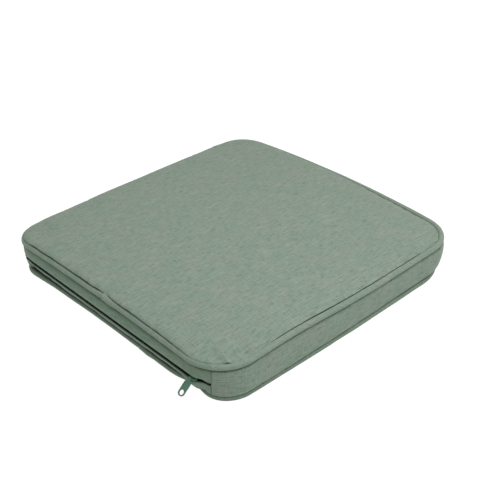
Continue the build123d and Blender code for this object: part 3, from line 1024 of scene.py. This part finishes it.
def make_seam_thread(name, outline, z, node, up):
    """Lockstitch line inside the piped seam."""
    count = int(outline.length)
    shares = np.arange(count) / count
    ring, out = outline.at(shares)
    stitches = np.round(outline.length / STITCH)
    dip = 0.25 * np.cos(2 * math.pi * stitches * shares)
    path = np.column_stack([ring - out * STITCHES_IN, z + up * (1.2 + dip)])
    piece = closed_tube(name, path, np.column_stack([out, np.zeros(count)]), THREAD_RADIUS,
                        sides=5)
    return finish_piece(piece, THREAD, node)


def make_hem_thread(name, above, node):
    """Lockstitch line that holds a hem to its tape."""
    path = zip_line(STITCH / 4, TAPE_OUT - 0.95, above)
    path[:, 1] += 0.18 * np.cos(np.arange(len(path)) * math.pi / 2)
    piece = open_tube(name, path, THREAD_RADIUS)
    return finish_piece(piece, THREAD, node)


# ---- Filling ----

def rounded_block(name, out, low, high, edge):
    """Soft block that follows the plan, with rounded edges and gently uneven faces."""
    count = 220
    shares = np.arange(count) / count
    rings = []
    for angle in np.linspace(-math.pi / 2, math.pi / 2, 13):
        inwards = edge * (1 - math.cos(angle))
        z = (low + edge if angle < 0 else high - edge) + edge * math.sin(angle)
        ring, normal = TOP.at(shares)
        plan = ring + normal * (out - inwards)
        rings.append(np.column_stack([plan, np.full(count, z)]))
    for shrink in (0.85, 0.6, 0.6, 0.6):
        rings.insert(0, rings[0] * (shrink, shrink, 1))
        rings.append(rings[-1] * (shrink, shrink, 1))
    points = np.concatenate(rings)
    points[:, 2] += 0.3 * wander(points, 40, 8)
    faces = grid_faces(len(rings), count, closed=True).tolist()
    faces += [list(range(count))[::-1], list(range(len(points) - count, len(points)))]
    return mesh_object(name, points, faces)


FOAM_OUT = -22.0
FOAM_EDGE = 6.0
FOAM_PRESSED = 1.2


def make_foam():
    """Foam core, pressed a little thinner than it was cut."""
    low, high = node_box("foam_core")
    piece = rounded_block("foam_block", FOAM_OUT, low[2] + FOAM_PRESSED, high[2] - FOAM_PRESSED,
                          FOAM_EDGE)
    face_outwards(piece)
    return finish_piece(piece, FOAM, "foam_core")


WADDING_THICK = 2.6
WADDING_RISE = 0.9
WADDING_BACK = BACK_Y - 16
WADDING_FRONT = FRONT_Y + 13
WADDING_HALF_WIDTH = HALF_WIDTH - 19
TURN_START = WADDING_FRONT + 24
TURN_DEPTH = 20.5
EDGE_PRESSED = 0.16
DIP_FOLLOWED = 1.3


def wrap_rows(middle, half):
    """Rows of the wadding over the foam, round its front and back under it. half is how far it
    lies above and below the middle."""
    path = [(y, middle + half) for y in np.linspace(WADDING_BACK, TURN_START, 50)]
    for angle in np.linspace(0, math.pi, 17)[1:-1]:
        path.append((TURN_START - TURN_DEPTH * math.sin(angle), middle + half * math.cos(angle)))
    path += [(y, middle - half) for y in np.linspace(TURN_START, WADDING_BACK, 50)]
    rows = []
    for y, z in path:
        front_cut = 34 * smooth(-FRONT_Y - 70, -FRONT_Y - 12, -y)
        back_cut = 14 * smooth(WADDING_BACK - 40, WADDING_BACK, y)
        reach = WADDING_HALF_WIDTH - front_cut - back_cut
        x = np.linspace(-reach, reach, 60)
        bow = FRONT_BOW * (x / WADDING_HALF_WIDTH) ** 2 * smooth(0, -FRONT_Y, -y)
        rows.append(np.column_stack([x, y + bow, np.full(len(x), z)]))
    return np.array(rows)


def make_wrap():
    """Wadding round the foam. It is pressed thin along its edges and follows the cover's creases
    down, so that it stays under the cloth."""
    low, high = node_box("foam_core")
    middle = (low[2] + high[2]) / 2
    rows = wrap_rows(middle, (high[2] - low[2]) / 2 + WADDING_RISE)
    rows[:, :, 2] += 0.4 * wander(rows.reshape(-1, 3), 25, 12).reshape(rows.shape[:2])
    edge = smooth(WADDING_HALF_WIDTH - 22, WADDING_HALF_WIDTH, np.abs(rows[:, :, 0]))
    edge = np.maximum(edge, smooth(BACK_Y - 46, BACK_Y - 22, rows[:, :, 1]))
    rows[:, :, 2] += (middle - rows[:, :, 2]) * EDGE_PRESSED * edge
    dips = np.minimum(crease_height(rows[:, :, :2].reshape(-1, 2)), 0).reshape(rows.shape[:2])
    rows[:, :, 2] += DIP_FOLLOWED * dips * (rows[:, :, 2] > middle)
    piece = grid_object("wadding_wrap", rows)
    face_outwards(piece)
    solidify(piece, WADDING_THICK, offset=0)
    return finish_piece(piece, WADDING, "fibre_wrap")


# ---- Studio ----

CAMERA_AZIMUTH = 225.56
CAMERA_ELEVATION = 32.96
CAMERA_ROLL = 0.37
CAMERA_DISTANCE = 1382.8
CAMERA_LENS = 65.96
CAMERA_TARGET = (11.7, -36.4, 0.0)


def make_camera():
    """Camera that looks at the pad from above corner B, rolled a little."""
    azimuth, elevation, roll = map(math.radians, (CAMERA_AZIMUTH, CAMERA_ELEVATION, CAMERA_ROLL))
    back = Vector((math.sin(azimuth) * math.cos(elevation), -math.cos(azimuth) * math.cos(elevation),
                   math.sin(elevation)))
    right = Vector((math.cos(azimuth), math.sin(azimuth), 0))
    up = back.cross(right)
    rolled_right = right * math.cos(roll) + up * math.sin(roll)
    rolled_up = up * math.cos(roll) - right * math.sin(roll)
    place = (Vector(CAMERA_TARGET) + back * CAMERA_DISTANCE) * MM
    camera = bpy.data.objects.new("camera", bpy.data.cameras.new("camera"))
    bpy.context.scene.collection.objects.link(camera)
    camera.data.lens = CAMERA_LENS
    camera.data.sensor_width = 36
    camera.matrix_world = Matrix.Translation(place) @ Matrix(
        (rolled_right, rolled_up, back)).transposed().to_4x4()
    bpy.context.scene.camera = camera


FLOOR_GREY = (0.10, 0.10, 0.10, 1)
FLOOR_GLOW = 0.97
WHITE = (1, 1, 1, 1)
SKY_STRENGTH = 0.66


def make_floor():
    """White sweep under the pad, lit from within so that only a faint shadow shows."""
    size = 30.0
    mesh = bpy.data.meshes.new("floor")
    mesh.from_pydata([(-size, -size, 0), (size, -size, 0), (size, size, 0), (-size, size, 0)], [],
                     [(0, 1, 2, 3)])
    floor = bpy.data.objects.new("floor", mesh)
    bpy.context.scene.collection.objects.link(floor)
    floor.location.z = CAD_BOUNDS[0].z - 0.0002
    material, shader = new_material("floor_paper", 0.9)
    shader.inputs["Base Color"].default_value = FLOOR_GREY
    shader.inputs["Specular IOR Level"].default_value = 0.0
    shader.inputs["Emission Color"].default_value = WHITE
    shader.inputs["Emission Strength"].default_value = FLOOR_GLOW
    mesh.materials.append(material)


def area_light(name, place, size, power):
    """Large soft lamp that faces the middle of the pad."""
    lamp = bpy.data.lights.new(name, "AREA")
    lamp.shape = "DISK"
    lamp.size = size
    lamp.energy = power
    light = bpy.data.objects.new(name, lamp)
    bpy.context.scene.collection.objects.link(light)
    light.location = place
    light.rotation_euler = Vector(place).to_track_quat("Z", "Y").to_euler()


def make_lights():
    """Even white sky, a soft key light and a weaker lamp over the pad."""
    world = bpy.data.worlds.new("studio")
    bpy.context.scene.world = world
    world.use_nodes = True
    world.node_tree.nodes["Background"].inputs["Color"].default_value = WHITE
    world.node_tree.nodes["Background"].inputs["Strength"].default_value = SKY_STRENGTH
    area_light("key", (-1.6, -0.5, 1.5), 1.4, 14)
    area_light("near", (-0.32, 0.05, 1.06), 0.8, 7.4)
    bpy.context.scene.view_settings.view_transform = "Standard"


make_camera()
make_floor()
make_lights()

make_top_panel()
make_bottom_panel()
make_side_band()
make_strip("upper_strip_cloth", UPPER_STRIP, "zip_band_upper", 1, range(14, 19))
make_strip("lower_strip_cloth", LOWER_STRIP, "zip_band_lower", -1, range(5), BELLIED_STRIP)
make_piping("top_piping", TOP, TOP_Z, "piping_top_sleeve", 0, 21, JOIN_X, BIAS_CLOTH)
make_piping("bottom_piping", LOW, LOW_Z, "piping_bottom_sleeve", LOW_PIPING_LIFT, 31, LOW_JOIN_X,
            LOW_BIAS_CLOTH, LOW_PIPING_PRESSED)
make_cord("top_cord", TOP, TOP_Z, "piping_top_cord", 0, 21)
make_cord("bottom_cord", LOW, LOW_Z, "piping_bottom_cord", LOW_PIPING_LIFT, 31)
make_tape("upper_tape", 1, "zip_tape_upper", UPPER_TAPE_WIDTH)
make_tape("lower_tape", -1, "zip_tape_lower", LOWER_TAPE_WIDTH)
make_coil("upper_coil", 1, "zip_coil_upper")
make_coil("lower_coil", -1, "zip_coil_lower")
make_seam_thread("top_seam_thread", TOP, TOP_Z, "seam_thread_top", 1)
make_seam_thread("bottom_seam_thread", LOW, LOW_Z, "seam_thread_bottom", -1)
make_hem_thread("upper_hem_thread", 10.0, "hem_thread_upper")
make_hem_thread("lower_hem_thread", -9.0, "hem_thread_lower")
make_foam()
make_wrap()

for name in ("zip_slider", "zip_pull_tab"):
    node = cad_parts[name]
    node.data.materials.clear()
    node.data.materials.append(LACQUER)
